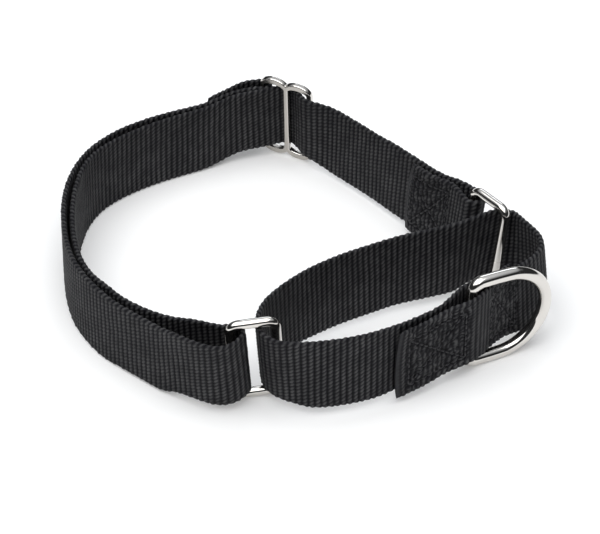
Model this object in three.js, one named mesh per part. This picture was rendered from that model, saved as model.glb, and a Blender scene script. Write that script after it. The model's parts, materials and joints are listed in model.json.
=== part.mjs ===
// A martingale collar of 1 inch webbing, standing on its edge on a table.
// Millimetres, +Z up. The leash ring is at the -Y side and the slider at the +Y side; +X is
// the side of the leash ring's bow. The origin is the middle of the footprint, on the table.

import * as THREE from 'three';

// Webbing
const WEB_WIDTH = 25.0;
const WEB_THICKNESS = 1.7;
const WEB_STEP = 1.6;            // distance between the sections of a strap
const RUNNING_GAP = 0.5;         // air between a strap and the metal that it runs round

// The two rectangular rings
const RING_WIRE = 3.0;
const RING_BAR_SPACING = 13.8;   // between the middles of the two long bars
const RING_WINDOW_HEIGHT = 26.6;
const RING_CORNER = 2.8;
const BUTT_GAP = 0.1;            // between a bent wire's two cut ends

// The leash ring
const LEASH_RING_WIRE = 4.0;
const LEASH_RING_DEPTH = 26.2;   // from the middle of the bar to the middle of the bow
const LEASH_RING_WINDOW = 26.6;
const LEASH_RING_CORNER = 3.2;
const LEASH_RING_SWING = 27;     // degrees from +X to the bow
const LEASH_RING_DROOP = 4.0;    // degrees that the bow hangs down
const LEASH_TAB_HEADING = 48;    // degrees, along the webbing at the leash ring's bar

// The slider
const SLIDER_SLOT_WIDTH = 6.4;
const SLIDER_SLOT_HEIGHT = 27.8;
const SLIDER_SLOT_END = 1.3;     // height of a slot's rounded end
const SLIDER_LOBE_END = 3.6;     // height of a lobe's rounded end
const SLIDER_RIM = 1.8;
const SLIDER_CENTRE_BAR = 1.8;
const SLIDER_DEPTH = 2.0;
const SLIDER_BEVEL = 0.4;
const SLIDER_HEADING = -24.6;    // degrees, along the strap

// Stitching
const THREAD_WIDTH = 1.0;
const THREAD_HEIGHT = 0.5;
const THREAD_GAP = 0.4;
const SEAM_MARGIN = 3.2;         // from the webbing's edge to the outside of the seam
// Each seam's two ends, as distances from the strap's own nearer end
const REAR_RING_SEAM = [1.5, 19.0];
const SLIDER_SEAM = [15.0, 1.8];
const LEASH_TAB_LEFT_SEAM = [25.0, 4.0];
const LEASH_TAB_RIGHT_SEAM = [48.0, 35.5];

// Where the metal stands, in the plan
const FRONT_RING = { strapBar: [-20.1, -51.0], heading: 8 };
const REAR_RING = { strapBar: [52.2, 13.4], heading: -49 };
const LEASH_BAR = [50.4, -35.3];
const SLIDER_MIDDLE = [-4.2, 74.5];

// How the collar stands: at each place in the plan, how far the webbing's upper edge leans
// out over its lower edge, and how far the lower edge is lifted by the metal beside it.
const STANCE = [
  { at: [-4, 75], lean: [-0.4, -4], lift: 3.8 },
  { at: [-45, 63], lean: [0.5, -1.5], lift: 0.0 },
  { at: [-72, 18], lean: [0.0, 0.0], lift: -0.6 },
  { at: [-64, -20], lean: [0.0, 0.0], lift: -0.6 },
  { at: [-45, -41], lean: [-0.3, -1.5], lift: 0.4 },
  { at: [-28, -51], lean: [-1.0, -4.0], lift: 2.6 },
  { at: [-13, -50], lean: [-1.5, -4.3], lift: 4.0 },
  { at: [14, -55], lean: [0.0, -0.2], lift: 2.8 },
  { at: [38, -45], lean: [0.0, -1.5], lift: 3.4 },
  { at: [51.8, -35.2], lean: [0.0, -2.0], lift: 5.1 },
  { at: [74, -8], lean: [-2.6, 0.0], lift: 3.4 },
  { at: [54, 11], lean: [3.0, 0.6], lift: 4.0 },
  { at: [35, 36], lean: [1.5, 0.8], lift: 1.6 },
  { at: [17, 57], lean: [0.5, 0.3], lift: 1.4 },
  { at: [12, -16], lean: [-0.7, 1.2], lift: 2.4 },
  { at: [40, -1], lean: [0.0, 1.3], lift: 2.8 },
];
const STANCE_REACH = 5;          // a place's pull is even within about this distance

const WEBBING_LOOK = { color: 0x1c1c1f, roughness: 0.85, metalness: 0.0 };
const THREAD_LOOK = { color: 0x202024, roughness: 0.7, metalness: 0.0 };
const NICKEL_LOOK = { color: 0xc9c6c0, roughness: 0.15, metalness: 1.0 };
const SATIN_LOOK = { color: 0xbab4ac, roughness: 0.35, metalness: 1.0 };

const radians = THREE.MathUtils.degToRad;

function heading(degrees) {
  return [Math.cos(radians(degrees)), Math.sin(radians(degrees))];
}

function along([x, y], degrees, distance, sideways = 0) {
  const [dx, dy] = heading(degrees);
  return [x + dx * distance - dy * sideways, y + dy * distance + dx * sideways];
}

// Points round a bar, from one angle to another.
function round([x, y], radius, from, to, count) {
  const points = [];
  for (let i = 0; i <= count; i += 1) {
    const [dx, dy] = heading(from + ((to - from) * i) / count);
    points.push([x + radius * dx, y + radius * dy]);
  }
  return points;
}

// The stance at a place, as the average of the listed ones, weighted by nearness.
function stanceAt(x, y) {
  let total = 0;
  const sum = [0, 0, 0];
  for (const { at, lean, lift } of STANCE) {
    const distance = (x - at[0]) ** 2 + (y - at[1]) ** 2 + STANCE_REACH ** 2;
    const weight = 1 / distance ** 2;
    total += weight;
    sum[0] += weight * lean[0];
    sum[1] += weight * lean[1];
    sum[2] += weight * lift;
  }
  return { lean: [sum[0] / total, sum[1] / total], lift: Math.max(0, sum[2] / total) };
}

// Leans and lifts geometry that was made upright, with the webbing's lower edge at z = 0.
function stand(geometry) {
  const position = geometry.attributes.position;
  for (let i = 0; i < position.count; i += 1) {
    const [x, y, z] = [position.getX(i), position.getY(i), position.getZ(i)];
    const { lean, lift } = stanceAt(x, y);
    const share = z / WEB_WIDTH - 0.5;
    position.setXYZ(i, x + share * lean[0], y + share * lean[1], z + lift);
  }
  geometry.computeVertexNormals();
  return geometry;
}

function pathThrough(points) {
  const places = points.map(([x, y]) => new THREE.Vector3(x, y, 0));
  return new THREE.CatmullRomCurve3(places, false, 'centripetal');
}

// A place on a path, moved to its left by an offset.
function besidePath(path, share, offset) {
  const place = path.getPointAt(share);
  const tangent = path.getTangentAt(share);
  return new THREE.Vector2(place.x - tangent.y * offset, place.y + tangent.x * offset);
}

function webbing(path) {
  const steps = Math.round(path.getLength() / WEB_STEP);
  const left = [];
  const right = [];
  for (let i = 0; i <= steps; i += 1) {
    left.push(besidePath(path, i / steps, WEB_THICKNESS / 2));
    right.push(besidePath(path, i / steps, -WEB_THICKNESS / 2));
  }
  const outline = new THREE.Shape([...left, ...right.reverse()]);
  return stand(new THREE.ExtrudeGeometry(outline, { depth: WEB_WIDTH, bevelEnabled: false }));
}

// The points of a closed outline, with its long sides cut into short ones.
function divided(corners, step) {
  const points = [];
  corners.forEach(([x, y], i) => {
    const [nextX, nextY] = corners[(i + 1) % corners.length];
    const parts = Math.max(1, Math.round(Math.hypot(nextX - x, nextY - y) / step));
    for (let k = 0; k < parts; k += 1) {
      points.push(new THREE.Vector2(x + ((nextX - x) * k) / parts, y + ((nextY - y) * k) / parts));
    }
  });
  return points;
}

// A box and cross of thread, laid on one side of a strap between two distances along it.
function boxStitching(path, from, to, side) {
  const length = to - from;
  const bottom = SEAM_MARGIN;
  const top = WEB_WIDTH - SEAM_MARGIN;
  const frame = new THREE.Shape(divided([[0, bottom], [length, bottom], [length, top], [0, top]], 2));
  const [near, far] = [THREAD_WIDTH, length - THREAD_WIDTH];
  const [low, high] = [bottom + THREAD_WIDTH, top - THREAD_WIDTH];
  const middle = [length / 2, WEB_WIDTH / 2];
  const slack = THREAD_WIDTH * 0.9;
  const holes = [
    [[near + slack, low], [far - slack, low], [middle[0], middle[1] - slack]],
    [[far - slack, high], [near + slack, high], [middle[0], middle[1] + slack]],
    [[near, high - slack], [near, low + slack], [middle[0] - slack, middle[1]]],
    [[far, low + slack], [far, high - slack], [middle[0] + slack, middle[1]]],
  ];
  for (const hole of holes) {
    frame.holes.push(new THREE.Path(divided(hole, 2)));
  }
  const geometry = new THREE.ExtrudeGeometry(frame, { depth: THREAD_HEIGHT, bevelEnabled: false });
  const position = geometry.attributes.position;
  const whole = path.getLength();
  for (let i = 0; i < position.count; i += 1) {
    const [run, height, out] = [position.getX(i), position.getY(i), position.getZ(i)];
    const reach = side > 0 ? out : THREAD_HEIGHT - out;
    const offset = side * (WEB_THICKNESS / 2 + THREAD_GAP + reach);
    const place = besidePath(path, (from + run) / whole, offset);
    position.setXYZ(i, place.x, place.y, height);
  }
  return stand(facingOut(geometry));
}

// Turns the faces round if they point inwards.
function facingOut(geometry) {
  const position = geometry.attributes.position;
  const corner = [new THREE.Vector3(), new THREE.Vector3(), new THREE.Vector3()];
  let volume = 0;
  for (let i = 0; i < position.count; i += 3) {
    corner.forEach((point, k) => point.fromBufferAttribute(position, i + k));
    volume += corner[0].dot(corner[1].cross(corner[2]));
  }
  if (volume >= 0) {
    return geometry;
  }
  for (let i = 0; i < position.count; i += 3) {
    const [x, y, z] = [position.getX(i), position.getY(i), position.getZ(i)];
    position.setXYZ(i, position.getX(i + 1), position.getY(i + 1), position.getZ(i + 1));
    position.setXYZ(i + 1, x, y, z);
  }
  return geometry;
}

// A round wire bent along points in the plane of X and Z, with its ends nearly meeting.
function bentWire(points, diameter, steps) {
  const places = points.map(([x, z]) => new THREE.Vector3(x, 0, z));
  const path = new THREE.CatmullRomCurve3(places, false, 'centripetal');
  const section = new THREE.Shape();
  section.absarc(0, 0, diameter / 2, 0, 2 * Math.PI);
  return new THREE.ExtrudeGeometry(section, { steps, extrudePath: path, curveSegments: 5 });
}

// A rectangular ring, with its strap bar on the Z axis and its middle at z = 0.
function rectangularRing() {
  const side = RING_BAR_SPACING;
  const half = (RING_WINDOW_HEIGHT + RING_WIRE) / 2;
  const r = RING_CORNER;
  const points = [
    [0, -BUTT_GAP / 2], [0, -half / 2], ...round([r, r - half], r, 180, 270, 4),
    ...round([side - r, r - half], r, 270, 360, 4), [side, -half / 2], [side, half / 2],
    ...round([side - r, half - r], r, 0, 90, 4), ...round([r, half - r], r, 90, 180, 4),
    [0, half / 2], [0, BUTT_GAP / 2],
  ];
  return bentWire(points, RING_WIRE, 56);
}

// The leash ring, with its straight bar near the Z axis and its bow towards +X and drooping.
function leashRing() {
  const half = (LEASH_RING_WINDOW + LEASH_RING_WIRE) / 2;
  const r = LEASH_RING_CORNER;
  const bowMiddle = LEASH_RING_DEPTH - half;
  const points = [
    [0, -BUTT_GAP / 2], [0, -half / 2], ...round([r, r - half], r, 180, 262, 4),
    ...round([bowMiddle, 0], half, 280, 440, 12),
    ...round([r, half - r], r, 98, 180, 4), [0, half / 2], [0, BUTT_GAP / 2],
  ];
  return bentWire(points, LEASH_RING_WIRE, 64).rotateY(radians(LEASH_RING_DROOP));
}

// The slider: two long slots side by side in a plate with two rounded lobes at each end.
function sliderPlate() {
  const lobe = (SLIDER_SLOT_WIDTH + SLIDER_CENTRE_BAR) / 2;
  const slotHalf = SLIDER_SLOT_WIDTH / 2;
  const rimHalf = slotHalf + SLIDER_RIM;
  const endMiddle = SLIDER_SLOT_HEIGHT / 2 - SLIDER_SLOT_END;
  const notch = Math.acos(lobe / rimHalf);
  const outline = new THREE.Shape();
  outline.absellipse(lobe, endMiddle, rimHalf, SLIDER_LOBE_END, Math.PI - notch, 0, true);
  outline.absellipse(lobe, -endMiddle, rimHalf, SLIDER_LOBE_END, 0, notch - Math.PI, true);
  outline.absellipse(-lobe, -endMiddle, rimHalf, SLIDER_LOBE_END, -notch, -Math.PI, true);
  outline.absellipse(-lobe, endMiddle, rimHalf, SLIDER_LOBE_END, Math.PI, notch, true);
  for (const middle of [-lobe, lobe]) {
    const slot = new THREE.Path();
    slot.absellipse(middle, endMiddle, slotHalf, SLIDER_SLOT_END, 0, Math.PI);
    slot.absellipse(middle, -endMiddle, slotHalf, SLIDER_SLOT_END, Math.PI, 2 * Math.PI);
    outline.holes.push(slot);
  }
  const plate = new THREE.ExtrudeGeometry(outline, {
    depth: SLIDER_DEPTH - 2 * SLIDER_BEVEL,
    bevelThickness: SLIDER_BEVEL,
    bevelSize: SLIDER_BEVEL,
    bevelOffset: -SLIDER_BEVEL,
    bevelSegments: 1,
    curveSegments: 9,
  });
  plate.translate(0, 0, SLIDER_BEVEL - SLIDER_DEPTH / 2);
  plate.rotateX(Math.PI / 2);
  return plate;
}

// The collar strap, from its sewn end at the rear ring, round the neck to the front ring
// and back on the outside to the slider.
function collarStrapPath() {
  const barRadius = RING_WIRE / 2 + RUNNING_GAP + WEB_THICKNESS / 2;
  const slidesRound = SLIDER_RIM / 2 + RUNNING_GAP + WEB_THICKNESS / 2;
  const slidesBehind = SLIDER_DEPTH / 2 + RUNNING_GAP + WEB_THICKNESS / 2;
  const outerBar = SLIDER_SLOT_WIDTH + (SLIDER_CENTRE_BAR + SLIDER_RIM) / 2;
  const inSlider = (run, out) => along(SLIDER_MIDDLE, SLIDER_HEADING, run, out);
  const leftBar = inSlider(-outerBar, 0);
  return pathThrough([
    [33.8, 35.2], [38.4, 29.8], [45.3, 21.8],
    ...round(REAR_RING.strapBar, barRadius, 218, 400, 10),
    [47.2, 23.5], [40.1, 31.8], [33.6, 39.2], [26.5, 47.4], [17.6, 57.4], [9.8, 65.0],
    inSlider(outerBar, -slidesBehind - 0.3),
    inSlider(0, slidesBehind),
    inSlider(-outerBar, -slidesRound - WEB_THICKNESS - RUNNING_GAP),
    [-22, 71.5], [-31, 67.7], [-40.7, 63.1], [-49.4, 57.9], [-57.8, 51.3], [-63.9, 44.4],
    [-67.6, 36.3], [-69.5, 26.8], [-70.2, 17], [-69.8, 5.8], [-68.5, -4.2], [-66.3, -12.9],
    [-62.7, -20.5], [-57.2, -27.3], [-51.0, -33.8], [-44.0, -38.8], [-36.0, -42.7], [-28.5, -45.4],
    [-23.0, -47.4], [-19.0, -48.2], [-16.6, -49.6], [-15.9, -52.0], [-17.2, -55.0],
    [-20.5, -57.4], [-24.5, -57.6], [-29.0, -55.8], [-34.5, -52.4], [-40.5, -47.4],
    [-47.5, -41.2], [-53.8, -35.5], [-60.0, -28.5], [-65.0, -20.8], [-68.8, -12.5], [-71.2, -3.0],
    [-72.6, 8.0], [-73.0, 18.5], [-72.0, 28.5], [-69.5, 38.0], [-65.3, 47.0], [-58.5, 55.2],
    [-50.2, 61.3], [-41.3, 66], [-31.4, 70], [-22.4, 73.6],
    ...round(leftBar, slidesRound, SLIDER_HEADING - 90, SLIDER_HEADING + 100, 8),
    [-17.4, 79.3], [-23.2, 75.8], [-31, 72.4],
  ]);
}

// The control loop, from its end under the leash ring's inner side, round through both
// rings, to its end on the outside.
function controlLoopPath() {
  const layer = LEASH_RING_WIRE / 2 + RUNNING_GAP + WEB_THICKNESS / 2;
  const atTab = (run, out) => along(LEASH_BAR, LEASH_TAB_HEADING, run, out);
  return pathThrough([
    [64.6, -19.2], [59.8, -24.6], atTab(3.5, layer - 0.4), atTab(0, layer), atTab(-3.5, layer - 0.4),
    [42.2, -39.9], [35.0, -45.4], [27.0, -50.2], [18.5, -54.0], [9.0, -56.6], [0.0, -57.4],
    [-5.5, -56.4], [-9.6, -53.2], [-11.6, -48.5], [-11.6, -43.5], [-9.6, -36.5],
    [-5.0, -29.8], [3.0, -22.0], [12.5, -15.2], [22.0, -10.0], [31.0, -5.9], [40.0, -2.6],
    [47.6, 0.2],
    [53.2, 3.4], [57.0, 5.6], [60.4, 6.4], [64.2, 5.7], [68.2, 2.8], [71.6, -1.2], [73.9, -5.9],
    [74.2, -11.2], [71.6, -16.2], [66.6, -21.2], [61.2, -26.4],
    atTab(4.2, 0.5 - layer), atTab(0, -layer), atTab(-4.2, 0.7 - layer),
    [43.4, -42.4], [36.3, -47.7], [28.0, -52.6],
  ]);
}

// Stands a rigid piece at a bar, leaning as the webbing does there, with its foot on the table.
function standRigid(geometry, [x, y], degrees) {
  const { lean } = stanceAt(x, y);
  const upright = new THREE.Vector3(0, 0, 1);
  const leaning = new THREE.Vector3(lean[0], lean[1], WEB_WIDTH).normalize();
  geometry.rotateZ(radians(degrees));
  geometry.applyQuaternion(new THREE.Quaternion().setFromUnitVectors(upright, leaning));
  geometry.computeBoundingBox();
  geometry.translate(x, y, -geometry.boundingBox.min.z);
  return geometry;
}

// Distances from a path's far end, as distances from its start.
function fromEnd(path, distances) {
  return distances.map((distance) => path.getLength() - distance);
}

function named(name, geometry, look) {
  const mesh = new THREE.Mesh(geometry, new THREE.MeshStandardMaterial(look));
  mesh.name = name;
  return mesh;
}

const collarStrap = collarStrapPath();
const controlLoop = controlLoopPath();


const rings = [
  named('front_ring', standRigid(rectangularRing(), FRONT_RING.strapBar, FRONT_RING.heading), NICKEL_LOOK),
  named('rear_ring', standRigid(rectangularRing(), REAR_RING.strapBar, REAR_RING.heading), NICKEL_LOOK),
  named('leash_ring', standRigid(leashRing(), LEASH_BAR, LEASH_RING_SWING), NICKEL_LOOK),
];

const seams = [
  ['rear_ring_stitching', collarStrap, REAR_RING_SEAM, -1],
  ['slider_stitching', collarStrap, fromEnd(collarStrap, SLIDER_SEAM), -1],
  ['leash_tab_left_stitching', controlLoop, fromEnd(controlLoop, LEASH_TAB_LEFT_SEAM), 1],
  ['leash_tab_right_stitching', controlLoop, fromEnd(controlLoop, LEASH_TAB_RIGHT_SEAM), 1],
];

const collar = new THREE.Group();
collar.add(named('collar_strap', webbing(collarStrap), WEBBING_LOOK));
collar.add(named('control_loop', webbing(controlLoop), WEBBING_LOOK));
collar.add(...rings);
collar.add(named('slider', standRigid(sliderPlate(), SLIDER_MIDDLE, SLIDER_HEADING), SATIN_LOOK));
for (const [name, path, [from, to], side] of seams) {
  collar.add(named(name, boxStitching(path, from, to, side), THREAD_LOOK));
}
const footprint = new THREE.Box3().setFromObject(collar);
const middle = footprint.getCenter(new THREE.Vector3());
collar.position.set(-middle.x, -middle.y, -footprint.min.z);

export default collar;
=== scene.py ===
"""A martingale collar of black ribbed webbing with nickel-plated rings, standing on its edge."""

import json
import math

import bpy
import numpy as np
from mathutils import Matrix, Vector


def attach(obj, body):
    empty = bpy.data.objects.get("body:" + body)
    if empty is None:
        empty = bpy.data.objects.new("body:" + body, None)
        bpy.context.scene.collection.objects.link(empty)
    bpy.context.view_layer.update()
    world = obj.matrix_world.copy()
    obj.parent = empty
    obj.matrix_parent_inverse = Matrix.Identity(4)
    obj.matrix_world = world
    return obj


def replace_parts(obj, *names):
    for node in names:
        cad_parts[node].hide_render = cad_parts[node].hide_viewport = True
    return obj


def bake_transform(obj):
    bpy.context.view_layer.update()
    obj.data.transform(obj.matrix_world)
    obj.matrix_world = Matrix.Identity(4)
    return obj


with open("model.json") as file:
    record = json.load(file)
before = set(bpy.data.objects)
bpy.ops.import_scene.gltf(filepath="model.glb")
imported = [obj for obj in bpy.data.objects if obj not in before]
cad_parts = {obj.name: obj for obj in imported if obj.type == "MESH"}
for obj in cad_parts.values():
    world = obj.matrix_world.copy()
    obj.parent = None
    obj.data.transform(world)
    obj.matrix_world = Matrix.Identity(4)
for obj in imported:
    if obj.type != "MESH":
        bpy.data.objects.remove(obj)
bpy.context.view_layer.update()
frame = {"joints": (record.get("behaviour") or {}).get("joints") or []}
joints = {joint["name"]: joint for joint in frame["joints"]}

MM = 0.001

# ---------------------------------------------------------------- sizes, in millimetres
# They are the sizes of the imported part, which this scene dresses.

WEB_WIDTH = 25.0
WEB_THICKNESS = 1.7
RUNNING_GAP = 0.5

RING_WIRE = 3.0
RING_BAR_SPACING = 13.8
RING_WINDOW_HEIGHT = 26.6
RING_CORNER = 2.8
LEASH_RING_WIRE = 4.0
LEASH_RING_DEPTH = 26.2
LEASH_RING_WINDOW = 26.6
LEASH_RING_CORNER = 3.2
LEASH_RING_SWING = 27
LEASH_RING_DROOP = 4.0
LEASH_TAB_HEADING = 48

SLIDER_SLOT_WIDTH = 6.4
SLIDER_SLOT_HEIGHT = 27.8
SLIDER_SLOT_END = 1.3
SLIDER_LOBE_END = 3.6
SLIDER_RIM = 1.8
SLIDER_CENTRE_BAR = 1.8
SLIDER_DEPTH = 2.0
SLIDER_HEADING = -24.6

SEAM_MARGIN = 3.2
REAR_RING_SEAM = (1.5, 19.0)
SLIDER_SEAM = (15.0, 1.8)
LEASH_TAB_LEFT_SEAM = (25.0, 4.0)
LEASH_TAB_RIGHT_SEAM = (48.0, 35.5)

FRONT_BAR = (-20.1, -51.0)
FRONT_HEADING = 8
REAR_BAR = (52.2, 13.4)
REAR_HEADING = -49
LEASH_BAR = (50.4, -35.3)
SLIDER_MIDDLE = (-4.2, 74.5)

# The weave
RIB_PITCH = 1.9
RIB_STEPS = 6                      # grid cells along one rib's pitch
RIB_HEIGHT = 0.5
YARNS = 18                         # yarns across the webbing
YARN_STEPS = 5
EDGE_STEPS = 6
RIB_INSIDE = 0.85                  # share of a rib's height that is within the thickness
TOP_RIB_INSIDE = 0.1               # the same at the upper edge, across the webbing
BASE_HALF = WEB_THICKNESS / 2 - RIB_INSIDE * RIB_HEIGHT
SEALED_END = 1.6                   # length of the melted cut end
END_BOW = 1.6                      # how far the cut end's corners lie behind its middle
TAB_SAG = 1.8                      # how far the control loop's outer end hangs
SAG_REACH = 26.0
BOW_REACH = 8.0                    # how far from the cut end the bow begins
BOW_CENTRE = 0.42                  # height of the bow's foremost point, as a share of the width
MELTED_RELIEF = 0.15
MELTED_THINNING = 0.35
NO_END = 99.0                      # stands for a cut end that is not in this piece

# How uneven the weave is, as shares of a rib's pitch, a yarn's width or the relief. The
# sewn values are added where a seam pulls at the webbing.
RIB_WANDER = 0.07
YARN_WANDER = 0.06
RELIEF_WANDER = 0.12
SEWN_RIB_JITTER = 0.26
SEWN_RIB_SHAKE = 0.16
SEWN_YARN_SHAKE = 0.6
SEWN_RELIEF_SHAKE = 0.22
RIB_FULLNESS = 0.8                 # power of a rib's cosine: below 1 is fuller
YARN_DEPTH = 0.5                   # share of the relief that is lost between yarns
SEWN_YARN_DEPTH = 0.1
EDGE_LOSS = 0.25                   # share of the relief that is lost round the edges
SEAM_DENT = 0.45                   # how far a line of stitches presses the relief down
NOISE_CELLS = (97, 89)             # the noise repeats after this many cells

# The sewing
STITCH_LENGTH = 2.3
STITCH_RADIUS = 0.27
STITCH_GAP = 0.06                  # share of a stitch that is left free at each end
STITCH_TAPER = 0.45                # girth of a stitch's ends, as a share of its middle
STITCH_ARCH = 0.22                 # how far a stitch's middle stands over its ends
STITCH_SINK = 0.1                  # how deep its ends lie
SEAM_INSET = 0.5
SEAM_FADE = 2.0                    # how far outside a seam the webbing is still pulled
DENT_WIDTH = 0.75

# The metal
WIRE_SIDES = 40
CUT_END = 0.9                      # a wire's girth at its cut ends
SLIDER_BEVEL = 0.55
SLIDER_ARC_STEPS = 28
FLAT_FACE = 0.95                   # least slope of a face that counts as the slider's flat front

# The view
VIEW_TILT = 37                     # degrees down
VIEW_DISTANCE = 1.052              # metres
VIEW_HEIGHT = 0.012                # metres
LENS = 205.2
SENSOR_WIDTH = 36
ROOM_TINT = (0.97, 1.0, 1.04)
BACKDROP = 0.97                    # what the camera sees beyond the floor
FLOOR_REACH = 3.0

# Where the webbing's upper edge leans over its lower one, and how far the edge is lifted:
# place, lean, lift.
STANCE = (
    ((-4, 75), (-0.4, -4.0), 3.8),
    ((-45, 63), (0.5, -1.5), 0.0),
    ((-72, 18), (0.0, 0.0), -0.6),
    ((-64, -20), (0.0, 0.0), -0.6),
    ((-45, -41), (-0.3, -1.5), 0.4),
    ((-28, -51), (-1.0, -4.0), 2.6),
    ((-13, -50), (-1.5, -4.3), 4.0),
    ((14, -55), (0.0, -0.2), 2.8),
    ((38, -45), (0.0, -1.5), 3.4),
    ((51.8, -35.2), (0.0, -2.0), 5.1),
    ((74, -8), (-2.6, 0.0), 3.4),
    ((54, 11), (3.0, 0.6), 4.0),
    ((35, 36), (1.5, 0.8), 1.6),
    ((17, 57), (0.5, 0.3), 1.4),
    ((12, -16), (-0.7, 1.2), 2.4),
    ((40, -1), (0.0, 1.3), 2.8),
)
STANCE_REACH = 5.0

# The plan's origin in the frame, found from where the leash ring's hinge is.
leash_hinge = joints["leash_ring_swing"]["pos_m"]
PLAN_ORIGIN = np.array([leash_hinge[0] / MM - LEASH_BAR[0], leash_hinge[1] / MM - LEASH_BAR[1], 0.0])


# ---------------------------------------------------------------- camera, light and floor

def place_camera():
    """Looks down from straight in front of the leash side, with a long lens."""
    tilt = math.radians(VIEW_TILT)
    target = Vector((PLAN_ORIGIN[0] * MM, PLAN_ORIGIN[1] * MM, VIEW_HEIGHT))
    back = Vector((0, -math.cos(tilt), math.sin(tilt)))
    data = bpy.data.cameras.new("camera")
    data.lens = LENS
    data.sensor_width = SENSOR_WIDTH
    data.clip_end = 20
    camera = bpy.data.objects.new("camera", data)
    camera.location = target + back * VIEW_DISTANCE
    camera.rotation_euler = (-back).to_track_quat("-Z", "Y").to_euler()
    bpy.context.scene.collection.objects.link(camera)
    bpy.context.scene.camera = camera


def area_light(name, place, target, size, power, colour):
    data = bpy.data.lights.new(name, "AREA")
    data.shape = "RECTANGLE"
    data.size, data.size_y = size
    data.energy = power
    data.color = colour
    light = bpy.data.objects.new(name, data)
    light.location = place
    light.rotation_euler = (Vector(target) - Vector(place)).to_track_quat("-Z", "Y").to_euler()
    bpy.context.scene.collection.objects.link(light)


def soft_studio():
    """A broad softbox above and in front, and a dim room that shows dark in the metal."""
    area_light("softbox", (-0.25, -0.55, 1.6), (0, 0, 0), (2.3, 1.9), 30, (1, 0.995, 0.985))
    area_light("back_fill", (0.3, 1.9, 1.3), (0, 0, 0), (1.2, 0.5), 6, (0.9, 0.95, 1))
    world = bpy.data.worlds.new("room")
    world.use_nodes = True
    bpy.context.scene.world = world
    nodes, links = world.node_tree.nodes, world.node_tree.links
    split = nodes.new("ShaderNodeSeparateXYZ")
    links.new(nodes.new("ShaderNodeTexCoord").outputs["Generated"], split.inputs[0])
    ramp = nodes.new("ShaderNodeValToRGB")
    links.new(split.outputs["Z"], ramp.inputs["Fac"])
    # Height on the room's sphere, from below to above, and brightness.
    shades = [(0.0, 0.5), (0.04, 0.03), (0.5, 0.03), (0.7, 0.45), (1.0, 0.9)]
    elements = ramp.color_ramp.elements
    elements[0].position, elements[1].position = shades[0][0], shades[-1][0]
    for position, _ in shades[1:-1]:
        elements.new(position)
    for element, (_, value) in zip(elements, shades):
        element.color = (*(value * share for share in ROOM_TINT), 1)
    pick = nodes.new("ShaderNodeMix")
    pick.data_type = "RGBA"
    links.new(nodes.new("ShaderNodeLightPath").outputs["Is Camera Ray"], pick.inputs["Factor"])
    links.new(ramp.outputs["Color"], pick.inputs["A"])
    pick.inputs["B"].default_value = (BACKDROP, BACKDROP, BACKDROP, 1)
    links.new(pick.outputs["Result"], nodes["Background"].inputs["Color"])
    bpy.context.scene.view_settings.view_transform = "Standard"


def lay_floor():
    mesh = bpy.data.meshes.new("floor")
    reach = FLOOR_REACH
    corners = [(-reach, -reach, 0), (reach, -reach, 0), (reach, reach, 0), (-reach, reach, 0)]
    mesh.from_pydata(corners, [], [(0, 1, 2, 3)])
    floor = bpy.data.objects.new("floor", mesh)
    bpy.context.scene.collection.objects.link(floor)
    material = bpy.data.materials.new("paper")
    material.use_nodes = True
    shader = material.node_tree.nodes["Principled BSDF"]
    shader.inputs["Base Color"].default_value = (0.9, 0.9, 0.9, 1)
    shader.inputs["Roughness"].default_value = 0.9
    shader.inputs["Specular IOR Level"].default_value = 0.2
    shader.inputs["Emission Color"].default_value = (1, 1, 1, 1)
    shader.inputs["Emission Strength"].default_value = 0.16
    mesh.materials.append(material)


# ---------------------------------------------------------------- materials

class Shading:
    """A short way to write a material's nodes."""

    def __init__(self, name):
        self.material = bpy.data.materials.new(name)
        self.material.use_nodes = True
        self.nodes = self.material.node_tree.nodes
        self.links = self.material.node_tree.links
        self.shader = self.nodes["Principled BSDF"]

    def set(self, **values):
        for name, value in values.items():
            self.shader.inputs[name.replace("_", " ")].default_value = value

    def attribute(self, name):
        node = self.nodes.new("ShaderNodeAttribute")
        node.attribute_name = name
        return node

    def object_place(self):
        return self.nodes.new("ShaderNodeTexCoord").outputs["Object"]

    def noise(self, place, scale, detail, stretch=None):
        if stretch:
            mapping = self.nodes.new("ShaderNodeMapping")
            mapping.inputs["Scale"].default_value = stretch
            self.links.new(place, mapping.inputs["Vector"])
            place = mapping.outputs["Vector"]
        node = self.nodes.new("ShaderNodeTexNoise")
        node.inputs["Scale"].default_value = scale
        node.inputs["Detail"].default_value = detail
        self.links.new(place, node.inputs["Vector"])
        return node.outputs["Fac"]

    def ramp(self, value, *stops):
        node = self.nodes.new("ShaderNodeValToRGB")
        elements = node.color_ramp.elements
        elements[0].position = stops[0][0]
        elements[1].position = stops[-1][0]
        for position, _ in stops[1:-1]:
            elements.new(position)
        for element, (_, colour) in zip(elements, stops):
            element.color = (*colour, 1) if len(colour) == 3 else (colour[0],) * 3 + (1,)
        self.links.new(value, node.inputs["Fac"])
        return node.outputs["Color"]

    def mix(self, share, a, b):
        node = self.nodes.new("ShaderNodeMix")
        node.data_type = "RGBA"
        self.links.new(share, node.inputs["Factor"])
        self.links.new(a, node.inputs["A"])
        self.links.new(b, node.inputs["B"])
        return node.outputs["Result"]

    def add(self, a, b, factor):
        node = self.nodes.new("ShaderNodeMath")
        node.operation = "MULTIPLY_ADD"
        self.links.new(b, node.inputs[0])
        node.inputs[1].default_value = factor
        self.links.new(a, node.inputs[2])
        return node.outputs[0]

    def bump(self, height, distance, strength):
        node = self.nodes.new("ShaderNodeBump")
        node.inputs["Distance"].default_value = distance
        node.inputs["Strength"].default_value = strength
        self.links.new(height, node.inputs["Height"])
        self.links.new(node.outputs["Normal"], self.shader.inputs["Normal"])

    def link(self, value, name):
        self.links.new(value, self.shader.inputs[name])


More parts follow.
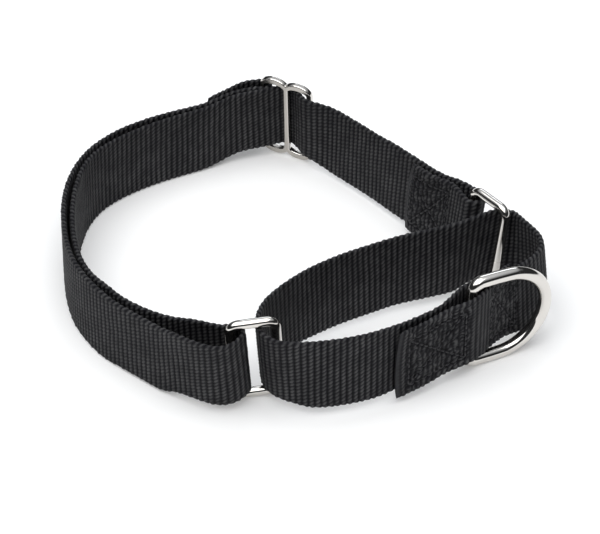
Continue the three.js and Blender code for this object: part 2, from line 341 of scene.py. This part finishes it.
def webbing_material():
    """Black nylon: filament yarns that shine a little on the ribs, with painted shade between them and a
    painted highlight on the rib tops.
    """
    look = Shading("black_webbing")
    relief = look.attribute("relief").outputs["Fac"]
    sealed = look.attribute("sealed").outputs["Fac"]
    weave = look.attribute("weave").outputs["Vector"]
    fibres = look.noise(weave, scale=4.0, detail=2.0, stretch=(5.0, 1.2, 1.0))
    patches = look.noise(look.object_place(), scale=180.0, detail=2.0)
    # Base colour follows the relief: painted shade in the gaps between ribs and yarns, painted highlight on
    # the rib tops.
    shade_and_highlight_mask = look.add(relief, fibres, 0.2)
    # yarn is the darker ramp of this painted shade and highlight, the next one a paler ramp; random patches
    # mix the two.
    yarn = look.ramp(shade_and_highlight_mask, (0.25, (0.0007, 0.0006, 0.0020)), (0.6, (0.011, 0.0108, 0.0135)),
                     (0.95, (0.053, 0.053, 0.054)))
    pale_patch_shade_and_highlight = look.ramp(shade_and_highlight_mask, (0.25, (0.001, 0.0009, 0.0022)), (0.6, (0.018, 0.0178, 0.0205)),
                     (0.95, (0.080, 0.080, 0.081)))
    woven = look.mix(look.ramp(patches, (0.35, (0.0,)), (0.65, (1.0,))), yarn, pale_patch_shade_and_highlight)
    melted = look.ramp(patches, (0.3, (0.016, 0.016, 0.018)), (0.7, (0.03, 0.03, 0.033)))
    look.link(look.mix(sealed, woven, melted), "Base Color")
    look.link(look.ramp(look.add(fibres, sealed, -0.3), (0.2, (0.45,)), (0.8, (0.7,))), "Roughness")
    look.set(Specular_IOR_Level=0.14)
    look.bump(fibres, distance=0.00012, strength=0.6)
    return look.material


def thread_material():
    """Bonded black thread, a little glossier than the webbing."""
    look = Shading("black_thread")
    place = look.object_place()
    twist = look.noise(place, scale=1500.0, detail=1.0)
    look.link(look.ramp(twist, (0.3, (0.008, 0.008, 0.01)), (0.7, (0.022, 0.022, 0.026))), "Base Color")
    look.link(look.ramp(twist, (0.3, (0.35,)), (0.7, (0.55,))), "Roughness")
    look.bump(twist, distance=0.0001, strength=0.6)
    return look.material


def nickel_material(name, low, high, colour):
    """Plated metal, its roughness between low and high. Ripples and marks break up the gloss."""
    look = Shading(name)
    place = look.object_place()
    ripples = look.noise(place, scale=70.0, detail=1.0)
    marks = look.noise(place, scale=700.0, detail=3.0)
    dull = tuple(0.94 * share for share in colour)
    look.link(look.ramp(ripples, (0.3, dull), (0.7, colour)), "Base Color")
    look.link(look.ramp(marks, (0.35, (low,)), (0.75, (high,))), "Roughness")
    look.set(Metallic=1.0)
    look.bump(ripples, distance=0.00015, strength=0.3)
    return look.material


# ---------------------------------------------------------------- the stance and the routes

def stance_at(x, y):
    """Lean and lift at places in the plan, as the average of the listed ones by nearness."""
    total = np.zeros_like(x, float)
    lean_x, lean_y, lift = (np.zeros_like(x, float) for _ in range(3))
    for (at_x, at_y), (dx, dy), up in STANCE:
        weight = 1 / ((x - at_x) ** 2 + (y - at_y) ** 2 + STANCE_REACH ** 2) ** 2
        total += weight
        lean_x += weight * dx
        lean_y += weight * dy
        lift += weight * up
    return lean_x / total, lean_y / total, np.maximum(0, lift / total)


def stand(points):
    """Leans and lifts upright points, whose z is the height above the webbing's lower edge."""
    x, y, z = points[..., 0], points[..., 1], points[..., 2]
    lean_x, lean_y, lift = stance_at(x, y)
    share = z / WEB_WIDTH - 0.5
    return np.stack([x + share * lean_x, y + share * lean_y, z + lift], axis=-1)


def heading(degrees):
    return np.array([math.cos(math.radians(degrees)), math.sin(math.radians(degrees))])


def along(place, degrees, run, out=0.0):
    """A place moved along a heading, and to the left of it."""
    dx, dy = heading(degrees)
    return (place[0] + dx * run - dy * out, place[1] + dy * run + dx * out)


def round_bar(place, radius, start, end, count):
    angles = np.linspace(start, end, count + 1)
    return [tuple(np.array(place) + radius * heading(angle)) for angle in angles]


def smooth_curve(points, per_span=24):
    """A centripetal Catmull-Rom curve through points, as a dense row of places."""
    p = np.array(points, float)
    p = np.vstack([2 * p[0] - p[1], p, 2 * p[-1] - p[-2]])
    rows = []
    for i in range(1, len(p) - 2):
        p0, p1, p2, p3 = p[i - 1:i + 3]
        d0, d1, d2 = (math.sqrt(np.linalg.norm(b - a)) for a, b in ((p0, p1), (p1, p2), (p2, p3)))
        t1 = ((p1 - p0) / d0 - (p2 - p0) / (d0 + d1) + (p2 - p1) / d1) * d1
        t2 = ((p2 - p1) / d1 - (p3 - p1) / (d1 + d2) + (p3 - p2) / d2) * d1
        t = np.linspace(0, 1, per_span, endpoint=False)[:, None]
        rows.append(p1 + t1 * t + (3 * (p2 - p1) - 2 * t1 - t2) * t ** 2
                    + (2 * (p1 - p2) + t1 + t2) * t ** 3)
    rows.append(p[-2:-1])
    return np.vstack(rows)


class Route:
    """A strap's middle line in the plan. Its far end may hang a little."""

    def __init__(self, points, end_sag=0.0):
        self.end_sag = end_sag
        self.places = smooth_curve(points)
        steps = np.linalg.norm(np.diff(self.places, axis=0), axis=1)
        self.runs = np.concatenate([[0], np.cumsum(steps)])
        self.length = self.runs[-1]

    def at(self, run):
        return np.stack([np.interp(run, self.runs, self.places[:, k]) for k in (0, 1)], axis=-1)

    def left(self, run):
        """Unit vectors to the left of the route."""
        ahead = self.at(np.minimum(run + 0.25, self.length))
        behind = self.at(np.maximum(run - 0.25, 0))
        way = ahead - behind
        way /= np.linalg.norm(way, axis=-1, keepdims=True)
        return np.stack([-way[..., 1], way[..., 0]], axis=-1)

    def sag(self, run):
        return self.end_sag * np.clip(1 - (self.length - run) / SAG_REACH, 0, 1) ** 2

    def nearest(self, place, low, high):
        """The run, between two others, that passes nearest to a place."""
        runs = np.linspace(low, high, 400)
        return runs[np.argmin(np.linalg.norm(self.at(runs) - np.array(place), axis=1))]


def collar_strap_route():
    """From the sewn end at the rear ring, round the neck to the front ring and back outside."""
    bar_radius = RING_WIRE / 2 + RUNNING_GAP + WEB_THICKNESS / 2
    slides_round = SLIDER_RIM / 2 + RUNNING_GAP + WEB_THICKNESS / 2
    slides_behind = SLIDER_DEPTH / 2 + RUNNING_GAP + WEB_THICKNESS / 2
    outer_bar = SLIDER_SLOT_WIDTH + (SLIDER_CENTRE_BAR + SLIDER_RIM) / 2

    def in_slider(run, out):
        return along(SLIDER_MIDDLE, SLIDER_HEADING, run, out)

    return Route([
        (33.8, 35.2), (38.4, 29.8), (45.3, 21.8),
        *round_bar(REAR_BAR, bar_radius, 218, 400, 10),
        (47.2, 23.5), (40.1, 31.8), (33.6, 39.2), (26.5, 47.4), (17.6, 57.4), (9.8, 65.0),
        in_slider(outer_bar, -slides_behind - 0.3),
        in_slider(0, slides_behind),
        in_slider(-outer_bar, -slides_round - WEB_THICKNESS - RUNNING_GAP),
        (-22.0, 71.5), (-31.0, 67.7), (-40.7, 63.1), (-49.4, 57.9), (-57.8, 51.3), (-63.9, 44.4),
        (-67.6, 36.3), (-69.5, 26.8), (-70.2, 17.0), (-69.8, 5.8), (-68.5, -4.2), (-66.3, -12.9),
        (-62.7, -20.5), (-57.2, -27.3), (-51.0, -33.8), (-44.0, -38.8), (-36.0, -42.7), (-28.5, -45.4),
        (-23.0, -47.4), (-19.0, -48.2), (-16.6, -49.6), (-15.9, -52.0), (-17.2, -55.0),
        (-20.5, -57.4), (-24.5, -57.6), (-29.0, -55.8), (-34.5, -52.4), (-40.5, -47.4),
        (-47.5, -41.2), (-53.8, -35.5), (-60.0, -28.5), (-65.0, -20.8), (-68.8, -12.5), (-71.2, -3.0),
        (-72.6, 8.0), (-73.0, 18.5), (-72.0, 28.5), (-69.5, 38.0), (-65.3, 47.0), (-58.5, 55.2),
        (-50.2, 61.3), (-41.3, 66.0), (-31.4, 70.0), (-22.4, 73.6),
        *round_bar(in_slider(-outer_bar, 0), slides_round, SLIDER_HEADING - 90, SLIDER_HEADING + 100, 8),
        (-17.4, 79.3), (-23.2, 75.8), (-31.0, 72.4),
    ])


def control_loop_route():
    """From the end under the leash ring, round through both rings, to the end on the outside."""
    layer = LEASH_RING_WIRE / 2 + RUNNING_GAP + WEB_THICKNESS / 2

    def at_tab(run, out):
        return along(LEASH_BAR, LEASH_TAB_HEADING, run, out)

    return Route([
        (64.6, -19.2), (59.8, -24.6), at_tab(3.5, layer - 0.4), at_tab(0, layer), at_tab(-3.5, layer - 0.4),
        (42.2, -39.9), (35.0, -45.4), (27.0, -50.2), (18.5, -54.0), (9.0, -56.6), (0.0, -57.4),
        (-5.5, -56.4), (-9.6, -53.2), (-11.6, -48.5), (-11.6, -43.5), (-9.6, -36.5),
        (-5.0, -29.8), (3.0, -22.0), (12.5, -15.2), (22.0, -10.0), (31.0, -5.9), (40.0, -2.6),
        (47.6, 0.2),
        (53.2, 3.4), (57.0, 5.6), (60.4, 6.4), (64.2, 5.7), (68.2, 2.8), (71.6, -1.2), (73.9, -5.9),
        (74.2, -11.2), (71.6, -16.2), (66.6, -21.2), (61.2, -26.4),
        at_tab(4.2, 0.5 - layer), at_tab(0, -layer), at_tab(-4.2, 0.7 - layer),
        (43.4, -42.4), (36.3, -47.7), (28.0, -52.6),
    ], TAB_SAG)


# ---------------------------------------------------------------- sewn seams

class Seam:
    """A box and cross of stitches on one face of a strap, between two runs along it."""

    def __init__(self, route, start, end, side):
        self.route, self.start, self.end, self.side = route, start, end, side
        length = abs(end - start)
        low, high = SEAM_MARGIN + SEAM_INSET, WEB_WIDTH - SEAM_MARGIN - SEAM_INSET
        near, far = SEAM_INSET, length - SEAM_INSET
        corners = [(near, low), (far, low), (far, high), (near, high)]
        self.lines = [(corners[k], corners[(k + 1) % 4]) for k in range(4)]
        self.lines += [(corners[0], corners[2]), (corners[1], corners[3])]

    def local(self, run):
        """Runs along the strap, as distances into the seam."""
        return (run - self.start) * math.copysign(1, self.end - self.start)

    def nearness(self, run, height):
        """1 on a line of stitches, fading to 0 beside it."""
        point = np.stack(np.broadcast_arrays(self.local(run), height), axis=-1)
        found = np.zeros(point.shape[:-1])
        for a, b in self.lines:
            a, way = np.array(a), np.array(b) - np.array(a)
            share = np.clip(((point - a) @ way) / (way @ way), 0, 1)
            gap = np.linalg.norm(point - a - share[..., None] * way, axis=-1)
            found = np.maximum(found, np.exp(-(gap / DENT_WIDTH) ** 2))
        return found

    def cover(self, run):
        """1 inside the seam's length, fading to 0 just outside."""
        into = self.local(run)
        length = abs(self.end - self.start)
        return np.clip(np.minimum(into + SEAM_FADE, length + SEAM_FADE - into) / SEAM_FADE, 0, 1)

    def stitches(self):
        """Each stitch's two ends, as (distance into the seam, height)."""
        for a, b in self.lines:
            a, b = np.array(a), np.array(b)
            count = max(1, round(np.linalg.norm(b - a) / STITCH_LENGTH))
            for k in range(count):
                first, last = k + STITCH_GAP, k + 1 - STITCH_GAP
                yield a + (b - a) * first / count, a + (b - a) * last / count


def smooth_noise(seed, x, y, cell):
    """Smoothed random values between -1 and 1, repeatable from the seed."""
    grid = np.random.default_rng(seed).uniform(-1, 1, NOISE_CELLS)
    x, y = np.broadcast_arrays(np.asarray(x) / cell, np.asarray(y) / cell)
    i, j = np.floor(x).astype(int), np.floor(y).astype(int)
    u, v = x - i, y - j
    u, v = u * u * (3 - 2 * u), v * v * (3 - 2 * v)
    across, up = NOISE_CELLS
    corner = [[grid[(i + a) % across, (j + b) % up] for b in (0, 1)] for a in (0, 1)]
    low = corner[0][0] * (1 - u) + corner[1][0] * u
    high = corner[0][1] * (1 - u) + corner[1][1] * u
    return low * (1 - v) + high * v


# ---------------------------------------------------------------- meshes

def new_piece(name, points, faces, material):
    """A smooth mesh from points in the plan, in millimetres."""
    mesh = bpy.data.meshes.new(name)
    mesh.vertices.add(len(points))
    mesh.vertices.foreach_set("co", ((points + PLAN_ORIGIN) * MM).astype(np.float32).ravel())
    sizes = np.array([len(face) for face in faces], np.int32)
    mesh.loops.add(int(sizes.sum()))
    mesh.loops.foreach_set("vertex_index", np.concatenate(faces).astype(np.int32))
    mesh.polygons.add(len(faces))
    mesh.polygons.foreach_set("loop_start", np.concatenate([[0], np.cumsum(sizes)[:-1]]).astype(np.int32))
    mesh.update(calc_edges=True)
    mesh.polygons.foreach_set("use_smooth", np.full(len(faces), True))
    mesh.materials.append(material)
    piece = bpy.data.objects.new(name, mesh)
    bpy.context.scene.collection.objects.link(piece)
    return piece


def tube_faces(rows, around, outward_flip=False):
    """Quads of a grid that closes on itself around, with a flat cap at both ends."""
    grid = np.arange(rows * around).reshape(rows, around)
    here, there = grid[:-1], grid[1:]
    quads = np.stack([here, there, np.roll(there, -1, axis=1), np.roll(here, -1, axis=1)], axis=-1)
    quads = quads.reshape(-1, 4)
    caps = [grid[0], grid[-1][::-1]]
    if outward_flip:
        quads, caps = quads[:, ::-1], [cap[::-1] for cap in caps]
    return list(quads) + caps


def weave_section():
    """The webbing's outline across: height, offset, outward direction, and turn from the left face."""
    low = BASE_HALF + RIB_INSIDE * RIB_HEIGHT
    high = WEB_WIDTH - BASE_HALF - TOP_RIB_INSIDE * RIB_HEIGHT
    heights = np.linspace(low, high, YARNS * YARN_STEPS + 1)
    turns = np.linspace(0, math.pi, EDGE_STEPS + 1)[1:-1]
    left = [(h, BASE_HALF, 0.0, 1.0, 0.0) for h in heights]
    over = [(high + BASE_HALF * math.sin(a), BASE_HALF * math.cos(a), math.sin(a), math.cos(a), a)
            for a in turns]
    right = [(h, -BASE_HALF, 0.0, -1.0, math.pi) for h in heights[::-1]]
    under = [(low - BASE_HALF * math.sin(a), -BASE_HALF * math.cos(a), -math.sin(a), -math.cos(a),
              math.pi - a) for a in turns]
    return np.array(left + over + right + under).T


def weave_relief(run, height, turn, seams):
    """How far the yarns stand out, from 0 to 1: slanted yarns stacked in ribs across the strap."""
    side = np.cos(turn)
    flat = np.abs(side)
    unrest = np.zeros(np.broadcast_shapes(run.shape, height.shape))
    pressed = np.zeros_like(unrest)
    for seam in seams:
        cover = seam.cover(run) * np.clip(side * seam.side, 0, 1)
        unrest = np.maximum(unrest, cover)
        pressed = np.maximum(pressed, seam.nearness(run, height) * cover)
    jitter = smooth_noise(11, run, height, cell=2.6)
    shake = smooth_noise(12, run, height, cell=1.3)
    wander = RIB_WANDER * smooth_noise(3, run, height, cell=7.0)
    pulled = unrest * (SEWN_RIB_JITTER * jitter + SEWN_RIB_SHAKE * shake)
    rib_phase = run / RIB_PITCH + turn / (2 * math.pi) + wander + pulled
    rib_number = np.round(rib_phase)
    across_rib = rib_phase - rib_number
    rib = np.cos(math.pi * across_rib) ** RIB_FULLNESS
    slant = np.where(side >= 0, -1, 1)
    yarn_phase = height * YARNS / WEB_WIDTH - slant * across_rib + 0.5 * rib_number
    yarn_phase = yarn_phase + YARN_WANDER * smooth_noise(5, run, height, cell=2.4)
    yarn_phase = yarn_phase + SEWN_YARN_SHAKE * unrest * shake
    yarn = 0.5 + 0.5 * np.cos(2 * math.pi * yarn_phase)
    gaps = (YARN_DEPTH + SEWN_YARN_DEPTH * unrest) * flat * (1 - yarn)
    relief = rib * (1 - gaps) * (1 - EDGE_LOSS * (1 - flat))
    relief = relief * (1 + RELIEF_WANDER * smooth_noise(8, run, height, cell=1.1))
    relief = relief + SEWN_RELIEF_SHAKE * unrest * shake
    return np.clip(relief - SEAM_DENT * pressed, -0.5, 1.2)


def webbing_piece(name, route, start, end, seams, material):
    """A length of webbing with its ribs and yarns. A true end of the route is melted and bowed."""
    rows = round((end - start) / RIB_PITCH * RIB_STEPS) + 1
    run = np.linspace(start, end, rows)[:, None]
    height, offset, out_up, out_side, turn = (row[None, :] for row in weave_section())
    relief = weave_relief(run, height, turn, seams)
    to_start = run if start <= 0 else np.full_like(run, NO_END)
    to_end = route.length - run if end >= route.length else np.full_like(run, NO_END)
    from_end = np.minimum(to_start, to_end)
    sealed = np.clip(1.25 - from_end / SEALED_END, 0, 1)
    sealed = np.broadcast_to(sealed * sealed * (3 - 2 * sealed), relief.shape)
    inward = np.where(to_start < to_end, 1, -1) * np.clip(1 - from_end / BOW_REACH, 0, 1)
    from_centre = (height / WEB_WIDTH - BOW_CENTRE) / (1 - BOW_CENTRE)
    run = run + inward * END_BOW * from_centre ** 2
    stand_out = RIB_HEIGHT * (relief * (1 - sealed) + MELTED_RELIEF * sealed)
    thin = 1 - MELTED_THINNING * sealed
    out = (offset + out_side * stand_out) * thin
    points = np.empty(relief.shape + (3,))
    points[..., :2] = route.at(run) + route.left(run) * out[..., None]
    points[..., 2] = height + out_up * stand_out - route.sag(run)
    piece = new_piece(name, stand(points).reshape(-1, 3), tube_faces(*relief.shape), material)
    mesh = piece.data
    for attribute, values in (("relief", relief), ("sealed", sealed)):
        made = mesh.attributes.new(attribute, "FLOAT", "POINT")
        made.data.foreach_set("value", values.astype(np.float32).ravel())
    weave = np.stack(np.broadcast_arrays(run, height, turn), axis=-1)
    made = mesh.attributes.new("weave", "FLOAT_VECTOR", "POINT")
    made.data.foreach_set("vector", weave.astype(np.float32).ravel())
    return piece


def stitching_piece(name, seams, material):
    """Short lengths of thread that dip into the webbing at both ends."""
    along_steps, around_steps = 7, 8
    points, faces, count = [], [], 0
    for seam in seams:
        way = math.copysign(1, seam.end - seam.start)
        for a, b in seam.stitches():
            share = np.linspace(0, 1, along_steps)
            arch = np.sin(share * math.pi)
            spot = a + (b - a) * share[:, None]
            across = np.array([-(b - a)[1], (b - a)[0]]) / np.linalg.norm(b - a)
            girth = STITCH_RADIUS * (STITCH_TAPER + (1 - STITCH_TAPER) * arch)
            angle = np.linspace(0, 2 * math.pi, around_steps, endpoint=False)
            flat = spot[:, None, :] + across * (girth[:, None] * np.cos(angle))[..., None]
            level_out = BASE_HALF + STITCH_ARCH * arch[:, None] - STITCH_SINK
            out = level_out + girth[:, None] * np.sin(angle)
            run = seam.start + way * flat[..., 0]
            place = seam.route.at(run) + seam.route.left(run) * (seam.side * out)[..., None]
            level = flat[..., 1:] - seam.route.sag(run)[..., None]
            upright = np.concatenate([place, level], axis=-1)
            points.append(stand(upright).reshape(-1, 3))
            flip = way * seam.side > 0
            faces += [face + count for face in tube_faces(along_steps, around_steps, flip)]
            count += along_steps * around_steps
    piece = new_piece(name, np.vstack(points), faces, material)
    return piece


def stand_rigid(points, place, degrees):
    """Turns a rigid piece to its heading, leans it as the webbing does there, and stands it down."""
    turn = heading(degrees)
    x, y, z = points.T
    points = np.stack([x * turn[0] - y * turn[1], x * turn[1] + y * turn[0], z], axis=1)
    lean_x, lean_y, _ = stance_at(np.array(float(place[0])), np.array(float(place[1])))
    leaning = Vector((float(lean_x), float(lean_y), WEB_WIDTH)).normalized()
    turn = Vector((0, 0, 1)).rotation_difference(leaning).to_matrix()
    points = points @ np.array(turn).T
    return points + np.array([place[0], place[1], -points[:, 2].min()])


def droop(points, degrees):
    """Turns points about Y, so that +X goes down."""
    angle = math.radians(degrees)
    x, y, z = points.T
    sine, cosine = math.sin(angle), math.cos(angle)
    return np.stack([x * cosine + z * sine, y, z * cosine - x * sine], axis=1)


def wire_piece(name, outline, wire, place, degrees, material, sag=0.0):
    """A round wire bent along an outline in the plane of X and Z, with softened cut ends."""
    middle = smooth_curve(outline, per_span=10)
    way = np.gradient(middle, axis=0)
    way /= np.linalg.norm(way, axis=1, keepdims=True)
    out = np.stack([way[:, 1], -way[:, 0]], axis=1)
    radius = np.full(len(middle), wire / 2)
    radius[[0, -1]] *= CUT_END
    angle = np.linspace(0, 2 * math.pi, WIRE_SIDES, endpoint=False)
    in_plane = middle[:, None, :] + out[:, None, :] * (radius[:, None] * np.cos(angle))[..., None]
    points = np.stack([in_plane[..., 0], radius[:, None] * np.sin(angle), in_plane[..., 1]], axis=-1)
    points = droop(points.reshape(-1, 3), sag)
    piece = new_piece(name, stand_rigid(points, place, degrees),
                      tube_faces(len(middle), WIRE_SIDES), material)
    return piece


def rectangular_outline(seam_height):
    """A rectangular ring's middle line, from a seam in its loop bar round to the seam again."""
    side = RING_BAR_SPACING
    half = (RING_WINDOW_HEIGHT + RING_WIRE) / 2
    r = RING_CORNER
    corners = [
        round_bar((side - r, half - r), r, 0, 90, 8), round_bar((r, half - r), r, 90, 180, 8),
        round_bar((r, r - half), r, 180, 270, 8), round_bar((side - r, r - half), r, 270, 360, 8),
    ]
    up = [(side, seam_height + 0.03), (side, seam_height + 0.25), (side, half / 2)]
    left = [(side / 2, half)]
    strap_bar = [(0, half / 2), (0, -half / 2)]
    below = [(side / 2, -half)]
    back = [(side, -half / 2), (side, seam_height - 0.25), (side, seam_height - 0.03)]
    return up + corners[0] + left + corners[1] + strap_bar + corners[2] + below + corners[3] + back


def leash_ring_outline():
    half = (LEASH_RING_WINDOW + LEASH_RING_WIRE) / 2
    r = LEASH_RING_CORNER
    bow_middle = LEASH_RING_DEPTH - half
    return [
        (0, -0.03), (0, -0.4), (0, -half / 2), *round_bar((r, r - half), r, 180, 262, 8),
        *round_bar((bow_middle, 0), half, 280, 440, 24),
        *round_bar((r, half - r), r, 98, 180, 8), (0, half / 2), (0, 0.4), (0, 0.03),
    ]


def slider_piece(polished, satin):
    """The slider's plate, with rounded rims, cut by two long slots."""
    lobe = (SLIDER_SLOT_WIDTH + SLIDER_CENTRE_BAR) / 2
    slot_half = SLIDER_SLOT_WIDTH / 2
    rim_half = slot_half + SLIDER_RIM
    end_middle = SLIDER_SLOT_HEIGHT / 2 - SLIDER_SLOT_END
    notch = math.acos(lobe / rim_half)

    def arc(x, z, wide, tall, start, end):
        angles = np.linspace(start, end, SLIDER_ARC_STEPS + 1)
        return [(x + wide * math.cos(a), z + tall * math.sin(a)) for a in angles]

    half_turn = math.pi
    outline = [
        *arc(lobe, end_middle, rim_half, SLIDER_LOBE_END, half_turn - notch, 0),
        *arc(lobe, -end_middle, rim_half, SLIDER_LOBE_END, 0, notch - half_turn),
        *arc(-lobe, -end_middle, rim_half, SLIDER_LOBE_END, -notch, -half_turn),
        *arc(-lobe, end_middle, rim_half, SLIDER_LOBE_END, half_turn, notch),
    ]
    slots = [[*arc(x, end_middle, slot_half, SLIDER_SLOT_END, 0, half_turn),
              *arc(x, -end_middle, slot_half, SLIDER_SLOT_END, half_turn, 2 * half_turn)]
             for x in (-lobe, lobe)]
    curve = bpy.data.curves.new("slider_outline", "CURVE")
    curve.dimensions = "2D"
    curve.fill_mode = "BOTH"
    curve.extrude = SLIDER_DEPTH / 2 - SLIDER_BEVEL
    curve.bevel_depth = SLIDER_BEVEL
    curve.bevel_resolution = 3
    curve.offset = -SLIDER_BEVEL
    for row in [outline, *slots]:
        spline = curve.splines.new("POLY")
        clean = [p for k, p in enumerate(row) if math.dist(p, row[k - 1]) > 1e-4]
        spline.points.add(len(clean) - 1)
        for point, (x, z) in zip(spline.points, clean):
            point.co = (x, z, 0, 1)
        spline.use_cyclic_u = True
    flat = bpy.data.objects.new("slider_flat", curve)
    bpy.context.scene.collection.objects.link(flat)
    bpy.context.view_layer.update()
    mesh = bpy.data.meshes.new_from_object(flat.evaluated_get(bpy.context.evaluated_depsgraph_get()))
    bpy.data.objects.remove(flat)
    points = np.array([v.co for v in mesh.vertices])
    fronts = [abs(p.normal.z) > FLAT_FACE for p in mesh.polygons]
    upright = np.stack([points[:, 0], -points[:, 2], points[:, 1]], axis=1)
    points = stand_rigid(upright, SLIDER_MIDDLE, SLIDER_HEADING)
    mesh.vertices.foreach_set("co", ((points + PLAN_ORIGIN) * MM).astype(np.float32).ravel())
    mesh.materials.append(polished)
    mesh.materials.append(satin)
    mesh.polygons.foreach_set("material_index", [int(front) for front in fronts])
    mesh.polygons.foreach_set("use_smooth", [not front for front in fronts])
    mesh.update()
    mesh.name = "cast_slider"
    piece = bpy.data.objects.new("cast_slider", mesh)
    bpy.context.scene.collection.objects.link(piece)
    return piece


# ---------------------------------------------------------------- the collar

place_camera()
soft_studio()
lay_floor()

webbing = webbing_material()
thread = thread_material()
nickel = nickel_material("polished_nickel", low=0.07, high=0.13, colour=(0.70, 0.675, 0.64))
satin_nickel = nickel_material("satin_nickel", low=0.30, high=0.40, colour=(0.52, 0.495, 0.46))

strap = collar_strap_route()
loop = control_loop_route()


def from_end(route, distances):
    return tuple(route.length - distance for distance in distances)


def beneath(seam, low, high, side):
    """The same seam on the far face of the layer that it is sewn to."""
    start, end = (seam.route.nearest(seam.route.at(run), low, high) for run in (seam.start, seam.end))
    return Seam(seam.route, start, end, side)


rear_seam = Seam(strap, *REAR_RING_SEAM, -1)
rear_seam_outside = beneath(rear_seam, 28, 60, -1)
slider_seam = Seam(strap, *from_end(strap, SLIDER_SEAM), -1)
left_seam = Seam(loop, *from_end(loop, LEASH_TAB_LEFT_SEAM), 1)
left_seam_inside = beneath(left_seam, 18, 60, -1)
right_seam = Seam(loop, *from_end(loop, LEASH_TAB_RIGHT_SEAM), 1)
right_seam_inside = beneath(right_seam, 0, 16, -1)
strap_seams = [rear_seam, rear_seam_outside, slider_seam]
loop_seams = [left_seam, left_seam_inside, right_seam, right_seam_inside]

at_slider = strap.nearest(along(SLIDER_MIDDLE, SLIDER_HEADING, 0, SLIDER_DEPTH), 80, 130)
at_front = strap.nearest((-15.9, -52.0), 200, 500)
at_inner_strand = loop.nearest((22.0, -10.0), 60, 250)


inside_middle = (at_slider + at_front) / 2
outside_middle = (at_front + strap.length) / 2
strap_parts = [
    ("strap_right", 0, at_slider, ["rear_ring"]),
    ("strap_inside_rear", at_slider, inside_middle, ["slider"]),
    ("strap_inside_front", inside_middle, at_front, ["front_ring"]),
    ("strap_outside_front", at_front, outside_middle, ["front_ring"]),
    ("strap_outside_rear", outside_middle, strap.length, ["slider"]),
]
for name, start, end, rests_on in strap_parts:
    piece = webbing_piece(name, strap, start, end, strap_seams, webbing)
    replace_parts(piece, "collar_strap")
    if name == "strap_right":
        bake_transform(piece)
    else:
        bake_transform(piece)

loop_parts = [("loop_left", 0, at_inner_strand), ("loop_right", at_inner_strand, loop.length)]
for name, start, end in loop_parts:
    piece = webbing_piece(name, loop, start, end, loop_seams, webbing)
    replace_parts(piece, "control_loop")
    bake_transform(piece)

for name, node, body, seams in [
    ("rear_ring_stitches", "rear_ring_stitching", "collar", [rear_seam, rear_seam_outside]),
    ("slider_stitches", "slider_stitching", "slider", [slider_seam]),
    ("tab_left_stitches", "leash_tab_left_stitching", "control_loop", [left_seam, left_seam_inside]),
    ("tab_right_stitches", "leash_tab_right_stitching", "control_loop", [right_seam, right_seam_inside]),
]:
    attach(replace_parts(stitching_piece(name, seams, thread), node), body)

for name, body, place, degrees, seam_height in [
    ("front_ring_wire", "front_ring", FRONT_BAR, FRONT_HEADING, -2.0),
    ("rear_ring_wire", "rear_ring", REAR_BAR, REAR_HEADING, -3.5),
]:
    ring = wire_piece(name, rectangular_outline(seam_height), RING_WIRE, place, degrees, nickel)
    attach(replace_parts(ring, body), body)

d_ring = wire_piece("leash_ring_wire", leash_ring_outline(), LEASH_RING_WIRE, LEASH_BAR,
                    LEASH_RING_SWING, nickel, LEASH_RING_DROOP)
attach(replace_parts(d_ring, "leash_ring"), "leash_ring")
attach(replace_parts(slider_piece(nickel, satin_nickel), "slider"), "slider")
